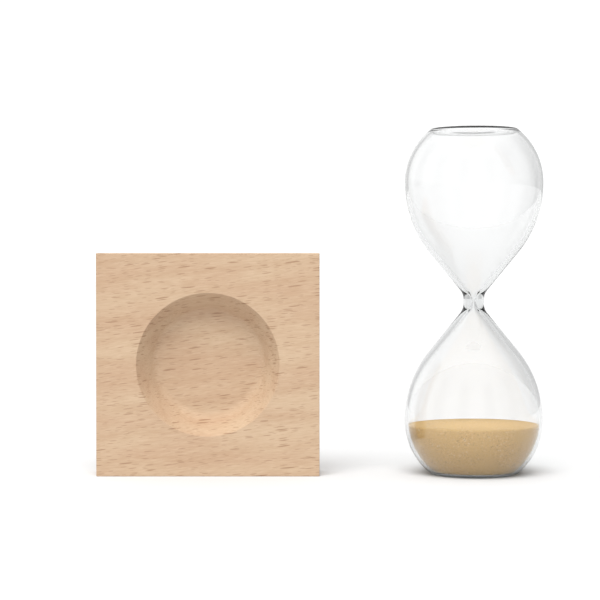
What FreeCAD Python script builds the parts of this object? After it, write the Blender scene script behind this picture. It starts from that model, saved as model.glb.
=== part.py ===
import FreeCAD, Part
import math
import os

os.makedirs("parts", exist_ok=True)

# Sand hourglass set: a two-bulb glass standing upright, and its square beech
# base standing on edge beside it with the dished face to the front (-Y).
# Millimetres, +Z up, origin at the centre of the glass's foot.

# Glass, the same above and below the neck plane
GLASS_H = 125.0  # height over both ends
BULB_D = 50.0  # outer diameter at the widest ring
END_TO_WIDE = 19.5  # end face to the widest ring
WAIST_D = 7.5  # outer diameter at the fused neck
CONE_SLOPE = 0.82  # outer cone near the neck, radius per height
CONE_START = 1.5  # radius at which the outer cone would meet the neck plane
WAIST_R = 5.0  # hollow round from the waist to the cone
COLLAR_H = 6.8  # height of the fused ring between the bulbs
WALL = 1.2  # bulb wall
END_WALL = 1.2  # flat end wall
THROAT_D = 1.0  # bore the sand runs through
IN_SLOPE = 0.86  # inner cone, radius per height
IN_START = -1.33  # radius at which the inner cone would meet the neck plane
IN_R = 5.7  # round from the bore to the inner cone
FOOT_R = 0.8  # round on the edge of each end
DIMPLE_D = 13.0  # shallow hollow in the middle of each end
DIMPLE = 0.5  # its depth
SEAL_D = 2.2  # melted pip that closes the filling hole
SEAL_OUT = 0.45  # how far the pip stands up in the hollow
SEAL_CROWN = 0.66  # height of its rounded top

# Sand
SAND_H = 18.0  # level of the sand above the foot
SAND_GAP = 0.1  # between the sand and the bulb wall

# Base
BASE_W = 80.0  # side of the square
BASE_T = 18.0  # thickness
BASE_R = 0.3  # barely softened edges
SIDE_GAP = 31.0  # between the base and the glass beside it
RIM_PLAY = 0.7  # between the glass's widest ring and the rim of the seat
FOOT_PLAY = 1.4  # between the glass's flat foot and the edge of the seat's flat bottom
DISH_DEPTH = 9.0
COVE_R = 4.4  # round between the flat bottom and the sloping wall
OVERCUT = 1.0  # how far the cutting shape of the seat stands clear of the face

UP = FreeCAD.Vector(0, 0, 1)
ORIGIN = FreeCAD.Vector(0, 0, 0)


def point(r, z):
    return FreeCAD.Vector(r, 0, z)


def line(a, b):
    return Part.makeLine(point(*a), point(*b))


def arc(centre, radius, start, end):
    """An arc in the XZ plane, angles in radians from +X towards +Z."""
    at = [
        point(centre[0] + radius * math.cos(t), centre[1] + radius * math.sin(t))
        for t in (start, (start + end) / 2, end)
    ]
    return Part.Arc(*at).toShape()


def turned(edges):
    """A solid of revolution about Z from a closed profile."""
    face = Part.Face(Part.Wire(Part.__sortEdges__(edges)))
    return face.revolve(ORIGIN, UP, 360)


def wall_line(wide, end_high, flat_r, slope, start, waist, hollow, edge_round):
    """One bulb's wall from the neck plane (height 0) to the end, as edges.

    wide is the radius and height of the widest ring, end_high the height of
    the end face. The end is part of a ball, the neck side an arc that runs
    into a cone, then a hollow round into the waist.
    """
    r_wide, z_wide = wide
    long = math.hypot(1, slope)
    big = (slope * z_wide + start - r_wide) / (long - 1)
    lean = math.atan(slope)
    centre = (r_wide - big, z_wide)
    cone_top = (centre[0] + big * math.cos(lean), z_wide - big * math.sin(lean))
    meet = (waist - start) / slope
    back = hollow * math.tan(lean / 2)
    cone_foot = (waist + back * math.sin(lean), meet + back * math.cos(lean))
    edges = [
        line((waist, 0), (waist, meet - back)),
        arc((waist + hollow, meet - back), hollow, math.pi, math.pi - lean),
        line(cone_foot, cone_top),
        arc(centre, big, -lean, 0),
    ]
    ball_end = math.asin((end_high - z_wide) / r_wide)
    if edge_round:
        # the edge round touches the end face and the ball from inside
        low = end_high - edge_round
        out = math.sqrt((r_wide - edge_round) ** 2 - (low - z_wide) ** 2)
        ball_end = math.atan2(low - z_wide, out)
        edges.append(arc((out, low), edge_round, ball_end, math.pi / 2))
        edges.append(line((out, end_high), (flat_r, end_high)))
    else:
        rim = r_wide * math.cos(ball_end)
        edges.append(line((rim, end_high), (flat_r, end_high)))
    edges.append(arc((0, z_wide), r_wide, 0, ball_end))
    return edges


def outer_body():
    """The bulb's outside as one solid, neck plane to end, with its hollow."""
    half = GLASS_H / 2
    wide = (BULB_D / 2, half - END_TO_WIDE)
    r = DIMPLE_D / 2
    edges = wall_line(wide, half, r, CONE_SLOPE, CONE_START, WAIST_D / 2, WAIST_R, FOOT_R)
    ball = (r * r + DIMPLE * DIMPLE) / (2 * DIMPLE)
    reach = math.asin(r / ball)
    top = half - DIMPLE + ball
    edges.append(arc((0, top), ball, -math.pi / 2, -math.pi / 2 + reach))
    edges.append(line((0, half - DIMPLE), (0, 0)))
    edges.append(line((0, 0), (WAIST_D / 2, 0)))
    return turned(edges)


def inner_body():
    """The space inside one bulb, neck plane to end wall."""
    half = GLASS_H / 2
    wide = (BULB_D / 2 - WALL, half - END_TO_WIDE)
    end = half - END_WALL
    edges = wall_line(wide, end, 0, IN_SLOPE, IN_START, THROAT_D / 2, IN_R, 0)
    edges.append(line((0, end), (0, 0)))
    edges.append(line((0, 0), (THROAT_D / 2, 0)))
    return turned(edges)


def slab(low, high):
    return Part.makeCylinder(BULB_D, high - low, point(0, low), UP)


def upward(shape):
    """From neck-plane heights to the upper bulb's place."""
    return shape.translated(FreeCAD.Vector(0, 0, GLASS_H / 2))


def downward(shape):
    """The same, turned over for the lower bulb."""
    turned_over = shape.copy()
    turned_over.rotate(ORIGIN, FreeCAD.Vector(1, 0, 0), 180)
    return turned_over.translated(FreeCAD.Vector(0, 0, GLASS_H / 2))


def bulb():
    """One bulb, from the top of the fused ring to its end face."""
    return outer_body().cut(inner_body()).common(slab(COLLAR_H / 2, GLASS_H))


def upper_bulb():
    hole = Part.makeCylinder(SEAL_D / 2, 2 * END_WALL, point(0, GLASS_H - 2 * END_WALL), UP)
    return upward(bulb()).cut(hole)


def lower_bulb():
    return downward(bulb())


def neck_collar():
    """The thick ring where the two bulbs are melted together."""
    ring = outer_body().cut(inner_body()).common(slab(0, COLLAR_H / 2))
    return upward(ring).fuse(downward(ring)).removeSplitter()


def fill_seal():
    """The pip that fills the hole, its top rounded."""
    r = SEAL_D / 2
    low = GLASS_H - END_WALL
    top = GLASS_H - DIMPLE + SEAL_OUT
    brow = top - SEAL_CROWN
    ball = (r * r + SEAL_CROWN * SEAL_CROWN) / (2 * SEAL_CROWN)
    edges = [
        line((0, low), (r, low)),
        line((r, low), (r, brow)),
        arc((0, top - ball), ball, math.acos(r / ball), math.pi / 2),
        line((0, top), (0, low)),
    ]
    return turned(edges)


def sand():
    """The settled sand: flat on top, the shape of the bulb below."""
    r = BULB_D / 2 - WALL - SAND_GAP
    top = SAND_H - END_TO_WIDE
    low = END_WALL - END_TO_WIDE
    edges = [
        line((0, END_WALL), (r * math.cos(math.asin(low / r)), END_WALL)),
        arc((0, END_TO_WIDE), r, math.asin(low / r), math.asin(top / r)),
        line((r * math.cos(math.asin(top / r)), SAND_H), (0, SAND_H)),
        line((0, SAND_H), (0, END_WALL)),
    ]
    return turned(edges)


def dish():
    """The round seat as a solid: flat bottom, cove, then a sloping wall."""
    foot_flat = math.sqrt((BULB_D / 2) ** 2 - END_TO_WIDE**2)
    rim, flat = BULB_D / 2 + RIM_PLAY, foot_flat + FOOT_PLAY
    clear = DISH_DEPTH + OVERCUT
    # lean of a straight wall that leaves the cove and reaches the rim
    across, down = rim - flat, DISH_DEPTH - COVE_R
    lean = math.atan2(down, across) + math.asin(COVE_R / math.hypot(across, down))
    foot = (flat + COVE_R * math.sin(lean), COVE_R * (1 - math.cos(lean)))
    edges = [
        line((0, 0), (flat, 0)),
        arc((flat, COVE_R), COVE_R, -math.pi / 2, -math.pi / 2 + lean),
        line(foot, (rim, DISH_DEPTH)),
        line((rim, DISH_DEPTH), (rim, clear)),
        line((rim, clear), (0, clear)),
        line((0, clear), (0, 0)),
    ]
    return turned(edges)


def base_block():
    """The square base, standing on one edge in the glass's plane, seat towards -Y."""
    corner = FreeCAD.Vector(-BASE_W / 2, -BASE_W / 2, 0)
    flat_block = Part.makeBox(BASE_W, BASE_W, BASE_T, corner)
    flat_block = flat_block.makeFillet(BASE_R, flat_block.Edges)
    seat = dish().translated(FreeCAD.Vector(0, 0, BASE_T - DISH_DEPTH))
    block = flat_block.cut(seat)
    block.rotate(ORIGIN, FreeCAD.Vector(1, 0, 0), 90)
    beside = -(BULB_D / 2 + SIDE_GAP + BASE_W / 2)
    return block.translated(FreeCAD.Vector(beside, BASE_T / 2, BASE_W / 2))


NODES = {
    "base_block": base_block,
    "lower_bulb": lower_bulb,
    "neck_collar": neck_collar,
    "upper_bulb": upper_bulb,
    "fill_seal": fill_seal,
    "sand": sand,
}

for name, make in NODES.items():
    shape = make()
    if not shape.isValid() or len(shape.Solids) != 1:
        raise ValueError(name + " is not one sound solid")
    shape.Solids[0].exportStep("parts/" + name + ".step")
    box = shape.BoundBox
    print(name, "volume", round(shape.Volume), "z", round(box.ZMin, 2), round(box.ZMax, 2))
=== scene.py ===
import math

import bmesh
import bpy
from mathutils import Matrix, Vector, noise


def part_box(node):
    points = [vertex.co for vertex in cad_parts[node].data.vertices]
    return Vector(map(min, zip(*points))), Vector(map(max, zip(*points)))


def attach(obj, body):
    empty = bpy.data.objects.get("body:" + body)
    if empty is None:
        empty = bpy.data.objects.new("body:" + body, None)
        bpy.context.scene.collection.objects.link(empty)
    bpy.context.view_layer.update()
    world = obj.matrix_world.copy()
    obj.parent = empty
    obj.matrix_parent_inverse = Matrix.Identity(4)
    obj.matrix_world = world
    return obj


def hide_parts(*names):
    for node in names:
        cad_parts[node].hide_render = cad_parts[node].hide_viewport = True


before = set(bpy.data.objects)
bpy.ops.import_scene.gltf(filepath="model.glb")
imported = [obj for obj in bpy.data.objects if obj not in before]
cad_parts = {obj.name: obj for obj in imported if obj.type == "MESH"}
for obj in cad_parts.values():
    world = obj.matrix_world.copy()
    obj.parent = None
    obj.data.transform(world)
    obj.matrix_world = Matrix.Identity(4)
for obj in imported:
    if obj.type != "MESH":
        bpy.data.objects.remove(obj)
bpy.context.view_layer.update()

MM = 0.001

# ---- sizes, in metres: the CAD model's, but for those marked "visual only" ----
GLASS_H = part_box("upper_bulb")[1][2]
HALF = GLASS_H / 2  # height of the neck plane
BALL_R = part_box("upper_bulb")[1][0]
END_TO_WIDE = 19.5 * MM
WAIST_R = 3.75 * MM
OUT_SLOPE, OUT_START, OUT_ROUND = 0.82, 1.5 * MM, 5.0 * MM
WALL, END_WALL = 1.2 * MM, 1.2 * MM
THROAT_R = 0.5 * MM
IN_SLOPE, IN_START, IN_ROUND = 0.86, -1.33 * MM, 5.7 * MM
FOOT_ROUND = 0.8 * MM
IN_CORNER = 3.0 * MM  # visual only: inside round between a bulb's wall and its end
WAVER = 0.05 * MM  # visual only: how far the inside of the glass is from round
DIMPLE_R, DIMPLE = 6.5 * MM, 0.5 * MM
PIP_R, PIP_H = 1.1 * MM, 0.45 * MM
PIP_SPREAD = 1.7  # visual only: the pip melts out to this many of its radii

SAND_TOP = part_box("sand")[1][2]
SAND_GAP = 0.1 * MM
SAND_FOOT = 0.02 * MM  # visual only: keeps the sand off the end wall
# visual only: the sand's top lies a little below its level, with slow and quick unevenness
SAND_SINK, SAND_SLOW, SAND_QUICK = 0.13 * MM, 0.10 * MM, 0.05 * MM
SLOW_PER_M, QUICK_PER_M = 90, 900
SAND_SHORE = 4 * MM  # the unevenness fades over this width at the glass

BASE_LOW, BASE_HIGH = (Vector(v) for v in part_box("base_block"))
BASE_HALF = (BASE_HIGH.x - BASE_LOW.x) / 2
BASE_T = BASE_HIGH.y - BASE_LOW.y
BASE_EDGE = 0.3 * MM
RIM_R, FLAT_R = 25.7 * MM, 17.04 * MM
DISH_DEPTH, COVE_R = 9.0 * MM, 4.4 * MM
RIM_EDGE = 0.25 * MM  # visual only: tiny round on the rim of the dish

AROUND = 160  # steps round the glass and the sand

# ---- colours and light ----
GLASS_IOR = 1.47
GLASS_SHADOW = (0.93, 0.94, 0.94, 1)  # what a lamp keeps on its way through
GLASS_TINT, GLASS_DENSITY = (0.0, 0.05, 0.05, 1), 45.0

SAND_DARK, SAND_LIGHT = (0.58, 0.335, 0.125, 1), (0.81, 0.565, 0.26, 1)
SAND_MEAN = (0.69, 0.455, 0.19, 1)
SAND_SPECK, SAND_QUARTZ = (0.33, 0.19, 0.08, 1), (0.84, 0.68, 0.44, 1)
GRAINS_PER_M = 3200.0

GRAIN_RISE = math.radians(6.0)
RING_WIDTH = 4.2 * MM
BEECH_PINK = (0.466, 0.316, 0.206, 1)
BEECH_YELLOW = (0.510, 0.370, 0.247, 1)
BEECH_RING = (0.37, 0.225, 0.125, 1)
BEECH_PALE = (0.67, 0.51, 0.36, 1)
BEECH_DASH = (0.23, 0.115, 0.055, 1)
# ray marks per metre along and across the grain, the luck a cell needs to have one,
# its radius in cells and how dark it is
RAY_MARKS = (
    ((240, 420, 2300), 0.05, 0.38, 0.36),
    ((165, 320, 1750), 0.10, 0.36, 0.48),
    ((105, 240, 1300), 0.42, 0.34, 0.64),
)

FLOOR_GREYS = (0.66, 0.66, 0.66, 1), (0.68, 0.68, 0.68, 1)
FLOOR_SIZE = 8.0  # half its side
FLAGS_ROUND = 8.0  # grey flags in one turn of the studio
KEY_FROM, KEY_STRENGTH, KEY_SPREAD = (-0.11, -0.57, 0.84), 3.0, 45

CAMERA_AT = (-0.063, -0.640, 0.075)
CAMERA_DOWN = math.radians(1.07)
LENS, SENSOR = 105.9, 36.0  # millimetres


# ---- small helpers ----
def arc(centre, radius, start, end, steps):
    """Points (r, h) along an arc, both ends included."""
    points = []
    for i in range(steps + 1):
        t = start + (end - start) * i / steps
        points.append((centre[0] + radius * math.cos(t), centre[1] + radius * math.sin(t)))
    return points


def straight(a, b, steps):
    """Points from a to b, both ends included."""
    return [
        (a[0] + (b[0] - a[0]) * i / steps, a[1] + (b[1] - a[1]) * i / steps)
        for i in range(steps + 1)
    ]


def joined(*runs):
    """Runs end to end, without the points that repeat."""
    points = []
    for run in runs:
        for p in run:
            if not points or math.dist(p, points[-1]) > 1e-7:
                points.append(p)
    return points


def new_piece(name, bm, material):
    mesh = bpy.data.meshes.new(name)
    bm.to_mesh(mesh)
    bm.free()
    mesh.shade_smooth()
    piece = bpy.data.objects.new(name, mesh)
    bpy.context.scene.collection.objects.link(piece)
    piece.data.materials.append(material)
    return piece


def revolve(bm, profile, waver=None):
    """Turns points (r, z) about Z. The first and last points are on the axis."""
    rings = []
    for r, z in profile:
        if r < 1e-7:
            rings.append([bm.verts.new((0, 0, z))])
            continue
        ring = []
        for i in range(AROUND):
            t = math.tau * i / AROUND
            rr = r + (waver(t, z, r) if waver else 0)
            ring.append(bm.verts.new((rr * math.cos(t), rr * math.sin(t), z)))
        rings.append(ring)
    bridge(bm, rings)


def bridge(bm, rings):
    """Faces between neighbouring rings. A ring of one point makes a fan."""
    for a, b in zip(rings, rings[1:]):
        n = max(len(a), len(b))
        for i in range(n):
            j = (i + 1) % n
            if len(a) == 1:
                bm.faces.new((a[0], b[j], b[i]))
            elif len(b) == 1:
                bm.faces.new((a[i], a[j], b[0]))
            else:
                bm.faces.new((a[i], a[j], b[j], b[i]))


# ---- materials ----
def node(tree, kind, inputs=None, **values):
    n = tree.nodes.new(kind)
    for key, value in values.items():
        setattr(n, key, value)
    for key, value in (inputs or {}).items():
        if hasattr(value, "links"):
            tree.links.new(value, n.inputs[key])
        else:
            n.inputs[key].default_value = value
    return n


def new_material(name):
    material = bpy.data.materials.new(name)
    material.use_nodes = True
    tree = material.node_tree
    return material, tree, tree.nodes["Principled BSDF"], tree.nodes["Material Output"]


def blend_colour(tree, factor, a, b):
    """Result socket of a colour mix; a and b are colours or sockets."""
    n = node(tree, "ShaderNodeMix", data_type="RGBA")
    for socket, value in ((n.inputs[0], factor), (n.inputs[6], a), (n.inputs[7], b)):
        if hasattr(value, "links"):
            tree.links.new(value, socket)
        else:
            socket.default_value = value
    return n.outputs[2]


def remap(tree, value, low, high, to_low=0.0, to_high=1.0, smooth=True):
    n = node(
        tree,
        "ShaderNodeMapRange",
        {"Value": value, "From Min": low, "From Max": high, "To Min": to_low, "To Max": to_high},
        interpolation_type="SMOOTHSTEP" if smooth else "LINEAR",
    )
    return n.outputs["Result"]


def stretched(tree, coords, scale, turn=(0, 0, 0)):
    n = node(tree, "ShaderNodeMapping", {"Vector": coords, "Scale": scale, "Rotation": turn})
    return n.outputs["Vector"]


def glass_material():
    """Clear blown glass: a little absorption darkens it where it is seen edge on."""
    material, tree, shader, output = new_material("clear_glass")
    shader.inputs["Base Color"].default_value = (1, 1, 1, 1)
    shader.inputs["Roughness"].default_value = 0.0
    shader.inputs["IOR"].default_value = GLASS_IOR
    shader.inputs["Transmission Weight"].default_value = 1.0
    # lamps shine through it, so it throws only a faint shadow
    path = node(tree, "ShaderNodeLightPath")
    through = node(tree, "ShaderNodeBsdfTransparent", {"Color": GLASS_SHADOW})
    mix = node(
        tree,
        "ShaderNodeMixShader",
        {0: path.outputs["Is Shadow Ray"], 1: shader.outputs[0], 2: through.outputs[0]},
    )
    tree.links.new(mix.outputs[0], output.inputs["Surface"])
    inside = node(
        tree, "ShaderNodeVolumeAbsorption", {"Color": GLASS_TINT, "Density": GLASS_DENSITY}
    )
    tree.links.new(inside.outputs[0], output.inputs["Volume"])
    return material


def sand_material():
    """Fine golden sand: grains of mixed tone with a grainy surface."""
    material, tree, shader, _ = new_material("golden_sand")
    coords = node(tree, "ShaderNodeTexCoord").outputs["Object"]
    grains = node(tree, "ShaderNodeTexVoronoi", {"Vector": coords, "Scale": GRAINS_PER_M})
    tone = node(tree, "ShaderNodeSeparateColor", {"Color": grains.outputs["Color"]}).outputs[0]
    drift = node(tree, "ShaderNodeTexNoise", {"Vector": coords, "Scale": 160.0, "Detail": 3.0})
    colour = blend_colour(tree, tone, SAND_DARK, SAND_LIGHT)
    dark = remap(tree, tone, 0.90, 0.97)
    colour = blend_colour(tree, dark, colour, SAND_SPECK)
    pale = remap(tree, tone, 0.08, 0.02)
    colour = blend_colour(tree, pale, colour, SAND_QUARTZ)
    shade = remap(tree, drift.outputs["Fac"], 0.3, 0.7)
    colour = blend_colour(tree, shade, colour, SAND_MEAN)
    soft = blend_colour(tree, 0.25, colour, SAND_MEAN)
    tree.links.new(soft, shader.inputs["Base Color"])
    rough = remap(tree, tone, 0.0, 1.0, 0.65, 0.95)
    tree.links.new(rough, shader.inputs["Roughness"])
    bump = node(
        tree,
        "ShaderNodeBump",
        {"Height": grains.outputs["Distance"], "Strength": 0.5, "Distance": 0.12 * MM},
        invert=True,
    )
    tree.links.new(bump.outputs["Normal"], shader.inputs["Normal"])
    return material


def ray_marks(tree, wood):
    """Short dark dashes where the wood's rays end, from fine to long."""
    marks = None
    for cells, chance, radius, depth in RAY_MARKS:
        cell = node(
            tree, "ShaderNodeTexVoronoi", {"Vector": stretched(tree, wood, cells), "Scale": 1.0}
        )
        luck = node(tree, "ShaderNodeSeparateColor", {"Color": cell.outputs["Color"]}).outputs[0]
        size = remap(tree, luck, chance, 1.0, 0.0, radius, smooth=False)
        near = node(
            tree, "ShaderNodeMath", {0: size, 1: cell.outputs["Distance"]}, operation="SUBTRACT"
        ).outputs[0]
        mark = remap(tree, near, 0.0, 0.10, 0.0, depth)
        if marks is None:
            marks = mark
        else:
            marks = node(
                tree, "ShaderNodeMath", {0: marks, 1: mark}, operation="MAXIMUM"
            ).outputs[0]
    return marks


def beech_material():
    """Pale beech with its grain along X, rising slightly to the right."""
    material, tree, shader, _ = new_material("beech")
    coords = node(tree, "ShaderNodeTexCoord").outputs["Object"]
    along = stretched(tree, coords, (1, 1, 1), (0, GRAIN_RISE, 0))
    # the wood's own waviness moves every pattern a little
    sway = node(
        tree,
        "ShaderNodeTexNoise",
        {"Vector": stretched(tree, along, (40, 90, 90)), "Scale": 1.0, "Detail": 1.0},
    )
    moved = node(
        tree,
        "ShaderNodeVectorMath",
        {0: sway.outputs["Color"], 1: (0.0, 1.6 * MM, 1.6 * MM)},
        operation="MULTIPLY",
    ).outputs[0]
    wood = node(tree, "ShaderNodeVectorMath", {0: along, 1: moved}, operation="ADD").outputs[0]

    patches = node(
        tree,
        "ShaderNodeTexNoise",
        {"Vector": stretched(tree, wood, (26, 110, 110)), "Scale": 1.0, "Detail": 2.0},
    )
    colour = blend_colour(
        tree, remap(tree, patches.outputs["Fac"], 0.3, 0.7), BEECH_PINK, BEECH_YELLOW
    )
    # growth rings about a heart line behind and below the board
    heart = node(
        tree, "ShaderNodeVectorMath", {0: wood, 1: (0.0, -0.16, 0.05)}, operation="ADD"
    ).outputs[0]
    across = node(
        tree, "ShaderNodeVectorMath", {0: heart, 1: (0.0, 1.0, 1.0)}, operation="MULTIPLY"
    ).outputs[0]
    far = node(tree, "ShaderNodeVectorMath", {0: across}, operation="LENGTH").outputs["Value"]
    turns = node(tree, "ShaderNodeMath", {0: far, 1: math.tau / RING_WIDTH}, operation="MULTIPLY")
    ring = node(tree, "ShaderNodeMath", {0: turns.outputs[0]}, operation="SINE").outputs[0]
    colour = blend_colour(tree, remap(tree, ring, 0.3, 1.0, 0.0, 0.12), colour, BEECH_RING)
    fibre = node(
        tree,
        "ShaderNodeTexNoise",
        {"Vector": stretched(tree, wood, (240, 2600, 2600)), "Scale": 1.0, "Detail": 3.0},
    ).outputs["Fac"]
    colour = blend_colour(tree, remap(tree, fibre, 0.45, 0.75, 0.0, 0.22), colour, BEECH_RING)
    colour = blend_colour(tree, remap(tree, fibre, 0.52, 0.25, 0.0, 0.20), colour, BEECH_PALE)
    marks = ray_marks(tree, wood)
    colour = blend_colour(tree, marks, colour, BEECH_DASH)
    tree.links.new(colour, shader.inputs["Base Color"])
    tree.links.new(remap(tree, fibre, 0.3, 0.7, 0.52, 0.68), shader.inputs["Roughness"])
    height = node(tree, "ShaderNodeMath", {0: fibre, 1: marks}, operation="SUBTRACT").outputs[0]
    bump = node(
        tree, "ShaderNodeBump", {"Height": height, "Strength": 0.2, "Distance": 0.1 * MM}
    )
    tree.links.new(bump.outputs["Normal"], shader.inputs["Normal"])
    return material


def floor_material():
    material, tree, shader, _ = new_material("studio_white")
    coords = node(tree, "ShaderNodeTexCoord").outputs["Object"]
    faint = node(tree, "ShaderNodeTexNoise", {"Vector": coords, "Scale": 4.0})
    colour = blend_colour(tree, faint.outputs["Fac"], *FLOOR_GREYS)
    tree.links.new(colour, shader.inputs["Base Color"])
    shader.inputs["Roughness"].default_value = 0.9
    shader.inputs["Specular IOR Level"].default_value = 0.1
    return material


# ---- the glass ----
def wall_run(r_wide, end_high, flat_r, slope, start, waist, hollow, edge_round):
    """One wall of a bulb from the neck plane (height 0) to its end, as points."""
    z_wide = HALF - END_TO_WIDE
    lean = math.atan(slope)
    big = (slope * z_wide + start - r_wide) / (math.hypot(1, slope) - 1)
    centre = (r_wide - big, z_wide)
    cone_top = (centre[0] + big * math.cos(lean), z_wide - big * math.sin(lean))
    meet = (waist - start) / slope
    back = hollow * math.tan(lean / 2)
    cone_foot = (waist + back * math.sin(lean), meet + back * math.cos(lean))
    low = end_high - edge_round
    out = math.sqrt((r_wide - edge_round) ** 2 - (low - z_wide) ** 2)
    ball_end = math.atan2(low - z_wide, out)
    return joined(
        straight((waist, 0), (waist, max(meet - back, 1e-6)), 4),
        arc((waist + hollow, meet - back), hollow, math.pi, math.pi - lean, 16),
        straight(cone_foot, cone_top, 12),
        arc(centre, big, -lean, 0, 26),
        arc((0, z_wide), r_wide, 0, ball_end, 26),
        arc((out, low), edge_round, ball_end, math.pi / 2, 8),
        straight((out, end_high), (flat_r, end_high), 5),
    )


def dimple_run():
    """From the rim of the hollow in an end face to its middle."""
    ball = (DIMPLE_R**2 + DIMPLE**2) / (2 * DIMPLE)
    reach = math.asin(DIMPLE_R / ball)
    return arc((0, HALF - DIMPLE + ball), ball, -math.pi / 2 + reach, -math.pi / 2, 12)


def pip_run():
    """The same, with the melted pip in the middle: a small knob on a low skirt."""
    skirt = [p for p in dimple_run() if p[0] > 2.2 * PIP_R]
    low = HALF - DIMPLE
    knob = []
    for i in range(15):
        t = i / 14
        r = 2.0 * PIP_R * (1 - t)
        rise = PIP_H * (0.5 + 0.5 * math.cos(math.pi * min(1, r / (PIP_SPREAD * PIP_R)))) ** 1.3
        knob.append((r if i < 14 else 0.0, low + DIMPLE * (r / DIMPLE_R) ** 2 + rise))
    return skirt + knob


def glass_vessel():
    """Both bulbs, the neck and the seal: one melted piece of glass."""
    outer_args = (BALL_R, HALF, DIMPLE_R, OUT_SLOPE, OUT_START, WAIST_R, OUT_ROUND, FOOT_ROUND)
    inner_args = (
        BALL_R - WALL, HALF - END_WALL, 0.0, IN_SLOPE, IN_START, THROAT_R, IN_ROUND, IN_CORNER
    )
    outer, inner = wall_run(*outer_args), wall_run(*inner_args)
    top = joined(outer, pip_run())
    foot = joined(outer, dimple_run())

    def both(upper, lower):
        """A closed line from the lowest middle up to the highest middle."""
        below = [(r, HALF - h) for r, h in reversed(lower)]
        above = [(r, HALF + h) for r, h in upper]
        line = joined(below, above)
        line[0], line[-1] = (0.0, line[0][1]), (0.0, line[-1][1])
        return line

    def waver(t, z, r):
        """Blown glass isn't quite round inside."""
        grow = min(1.0, r / (10 * MM))
        return WAVER * grow * math.sin(2 * t + 40 * z) * math.sin(90 * z + 1.0)

    bm = bmesh.new()
    revolve(bm, both(top, foot))
    outside = set(bm.faces)
    revolve(bm, both(inner, inner), waver)
    bmesh.ops.recalc_face_normals(bm, faces=bm.faces)
    # the inner wall faces the hollow, so that the glass is what lies between the walls
    bmesh.ops.reverse_faces(bm, faces=[f for f in bm.faces if f not in outside])
    return bm


def place_glass(material):
    vessel = new_piece("glass_vessel", glass_vessel(), material)
    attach(vessel, "glass")
    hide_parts("upper_bulb", "lower_bulb", "neck_collar", "fill_seal")


# ---- the sand ----
def place_sand(material):
    r_ball = BALL_R - WALL - SAND_GAP
    z_ball = END_TO_WIDE
    corner = IN_CORNER + SAND_GAP
    low = END_WALL + SAND_FOOT
    out = math.sqrt((r_ball - corner) ** 2 - (low + corner - z_ball) ** 2)
    start = math.atan2(low + corner - z_ball, out)
    top = math.asin((SAND_TOP - z_ball) / r_ball)
    profile = joined(
        straight((0, low), (out, low), 8),
        arc((out, low + corner), corner, -math.pi / 2, start, 8),
        arc((0, z_ball), r_ball, start, top, 26),
        straight((r_ball * math.cos(top), SAND_TOP), (0, SAND_TOP), 44),
    )
    bm = bmesh.new()
    revolve(bm, profile)
    for v in bm.verts:
        if v.co.z > SAND_TOP - 1e-6:
            p = Vector((v.co.x, v.co.y, 0))
            slow = noise.noise(p * SLOW_PER_M)
            quick = noise.noise(p * QUICK_PER_M)
            inside = min(1.0, (r_ball - p.length) / SAND_SHORE + 0.15)
            v.co.z -= (SAND_SINK + SAND_SLOW * slow + SAND_QUICK * quick) * inside
    bmesh.ops.recalc_face_normals(bm, faces=bm.faces)
    sand = new_piece("sand_fill", bm, material)
    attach(sand, "sand")
    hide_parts("sand")


# ---- the base ----
def square_ring(half, corner, per_side=44, per_corner=6):
    """Points of a square with rounded corners, in the order of their angle."""
    corner = max(corner, 1e-7)
    flat = half - corner
    points = []
    for side in range(4):
        turn = side * math.pi / 2
        local = [(half, flat * (2 * i / per_side - 1)) for i in range(1, per_side)]
        local += [
            (flat + corner * math.cos(a), flat + corner * math.sin(a))
            for a in (math.pi / 2 * i / per_corner for i in range(per_corner + 1))
        ]
        c, s = round(math.cos(turn)), round(math.sin(turn))
        points += [(c * x - s * y, s * x + c * y) for x, y in local]
    return points


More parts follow.
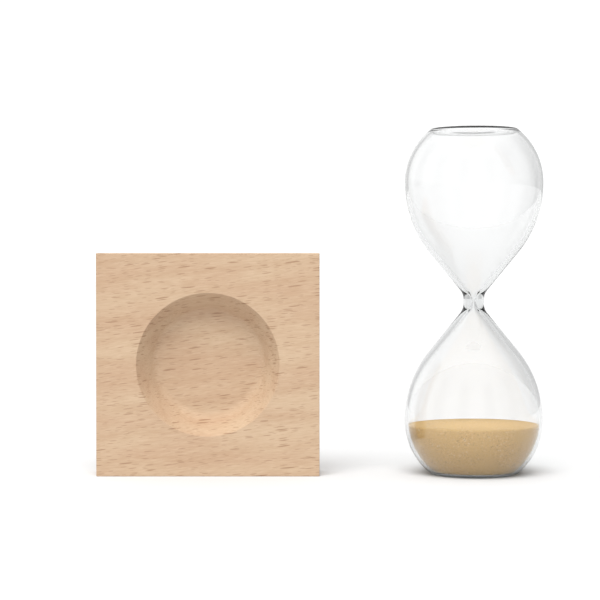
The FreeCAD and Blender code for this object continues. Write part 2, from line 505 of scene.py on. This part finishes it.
def place_base(material):
    """The square block with its round dish, built as rings from the dish's middle
    out to the edges, down the sides and in again over the back."""
    outline = square_ring(BASE_HALF - BASE_EDGE, 0.0)
    angles = [math.atan2(y, x) for x, y in outline]

    def circle(r):
        return [(r * math.cos(t), r * math.sin(t)) for t in angles]

    across, down = RIM_R - FLAT_R, DISH_DEPTH - COVE_R
    lean = math.atan2(down, across) + math.asin(COVE_R / math.hypot(across, down))
    rings = [(circle(FLAT_R * i / 6), DISH_DEPTH) for i in range(1, 7)]
    for i in range(1, 15):
        a = lean * i / 14
        rings.append(
            (circle(FLAT_R + COVE_R * math.sin(a)), DISH_DEPTH - COVE_R * (1 - math.cos(a)))
        )
    wall_foot = (FLAT_R + COVE_R * math.sin(lean), DISH_DEPTH - COVE_R * (1 - math.cos(lean)))
    # the rim is broken by a tiny round that touches the wall and the face
    back = RIM_EDGE * math.tan(lean / 2)
    wall_top = (RIM_R - back * math.cos(lean), back * math.sin(lean))
    for r, depth in straight(wall_foot, wall_top, 6)[1:]:
        rings.append((circle(r), depth))
    for i in range(1, 6):
        a = lean * (1 - i / 5)
        rings.append((circle(RIM_R + back - RIM_EDGE * math.sin(a)), RIM_EDGE * (1 - math.cos(a))))
    rim = circle(RIM_R + back)
    for i in range(1, 13):
        t = i / 12
        rings.append(
            ([(a + (c - a) * t, b + (d - b) * t) for (a, b), (c, d) in zip(rim, outline)], 0.0)
        )
    for i in range(1, 7):
        a = math.pi / 2 * i / 6
        size = BASE_HALF - BASE_EDGE + BASE_EDGE * math.sin(a)
        rings.append((square_ring(size, BASE_EDGE * math.sin(a)), BASE_EDGE * (1 - math.cos(a))))
    side = square_ring(BASE_HALF, BASE_EDGE)
    for i in range(1, 9):
        rings.append((side, BASE_EDGE + (BASE_T - 2 * BASE_EDGE) * i / 8))
    for i in range(1, 7):
        a = math.pi / 2 * (1 - i / 6)
        size = BASE_HALF - BASE_EDGE + BASE_EDGE * math.sin(a)
        rings.append(
            (square_ring(size, BASE_EDGE * math.sin(a)), BASE_T - BASE_EDGE * (1 - math.cos(a)))
        )
    for i in range(9, 0, -1):
        rings.append(([(x * i / 10, y * i / 10) for x, y in outline], BASE_T))

    middle = (BASE_LOW + BASE_HIGH) / 2
    bm = bmesh.new()

    def placed(x, y, depth):
        return bm.verts.new((middle.x + x, BASE_LOW.y + depth, middle.z + y))

    loops = [[placed(0, 0, DISH_DEPTH)]]
    loops += [[placed(x, y, depth) for x, y in points] for points, depth in rings]
    loops.append([placed(0, 0, BASE_T)])
    bridge(bm, loops)
    bmesh.ops.remove_doubles(bm, verts=bm.verts, dist=1e-6)
    bmesh.ops.recalc_face_normals(bm, faces=bm.faces)
    base = new_piece("beech_base", bm, material)
    base.modifiers.new("even_normals", "WEIGHTED_NORMAL").keep_sharp = True
    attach(base, "base")
    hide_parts("base_block")


# ---- studio ----
def place_floor():
    bm = bmesh.new()
    bmesh.ops.create_grid(bm, x_segments=24, y_segments=24, size=FLOOR_SIZE)
    floor = new_piece("studio_floor", bm, floor_material())


def sun(name, direction, strength, spread):
    """A large soft lamp far away; spread is how wide it looks, in degrees."""
    lamp = bpy.data.lights.new(name, "SUN")
    lamp.energy = strength
    lamp.angle = math.radians(spread)
    ob = bpy.data.objects.new(name, lamp)
    ob.rotation_euler = (-Vector(direction)).to_track_quat("-Z", "Y").to_euler()
    # it lights the set but isn't mirrored as a bright spot in the glass
    ob.visible_glossy = False
    ob.visible_transmission = False
    bpy.context.scene.collection.objects.link(ob)


def place_world():
    """White to the camera. What the glass reflects and bends is white with soft grey
    flags all round, so that its edges draw themselves from every side; the same
    surroundings, a little dimmer, are the soft light."""
    world = bpy.data.worlds.new("studio")
    bpy.context.scene.world = world
    world.use_nodes = True
    tree = world.node_tree
    background = tree.nodes["Background"]
    ray = node(tree, "ShaderNodeTexCoord").outputs["Generated"]
    parts = node(tree, "ShaderNodeSeparateXYZ", {0: ray})
    turn = node(
        tree, "ShaderNodeMath", {0: parts.outputs[0], 1: parts.outputs[1]}, operation="ARCTAN2"
    ).outputs[0]
    turned = node(
        tree, "ShaderNodeMath", {0: turn, 1: FLAGS_ROUND}, operation="MULTIPLY"
    ).outputs[0]
    wave = node(tree, "ShaderNodeMath", {0: turned}, operation="COSINE").outputs[0]
    flags = remap(tree, wave, -1.0, 0.6, 0.78, 1.14)
    high = remap(tree, parts.outputs[2], 0.25, 0.85, 0.0, 1.35)
    grey = node(tree, "ShaderNodeMath", {0: flags, 1: high}, operation="MAXIMUM").outputs[0]
    side = remap(tree, parts.outputs[0], 0.2, 0.95, 1.0, 0.6)
    grey = node(tree, "ShaderNodeMath", {0: grey, 1: side}, operation="MULTIPLY").outputs[0]
    path = node(tree, "ShaderNodeLightPath").outputs
    dim = remap(tree, path["Is Diffuse Ray"], 0.0, 1.0, 1.0, 0.78)
    grey = node(tree, "ShaderNodeMath", {0: grey, 1: dim}, operation="MULTIPLY").outputs[0]
    strength = node(
        tree, "ShaderNodeMath", {0: grey, 1: path["Is Camera Ray"]}, operation="MAXIMUM"
    ).outputs[0]
    tree.links.new(strength, background.inputs["Strength"])
    background.inputs["Color"].default_value = (1, 1, 1, 1)


def place_camera():
    lens = bpy.data.cameras.new("camera")
    lens.lens = LENS
    lens.sensor_width = SENSOR
    ob = bpy.data.objects.new("camera", lens)
    ob.location = CAMERA_AT
    ob.rotation_euler = (math.pi / 2 - CAMERA_DOWN, 0, 0)
    bpy.context.scene.collection.objects.link(ob)
    bpy.context.scene.camera = ob


place_glass(glass_material())
place_sand(sand_material())
place_base(beech_material())
place_floor()
place_world()
sun("key", KEY_FROM, KEY_STRENGTH, KEY_SPREAD)
place_camera()
bpy.context.scene.view_settings.view_transform = "Standard"
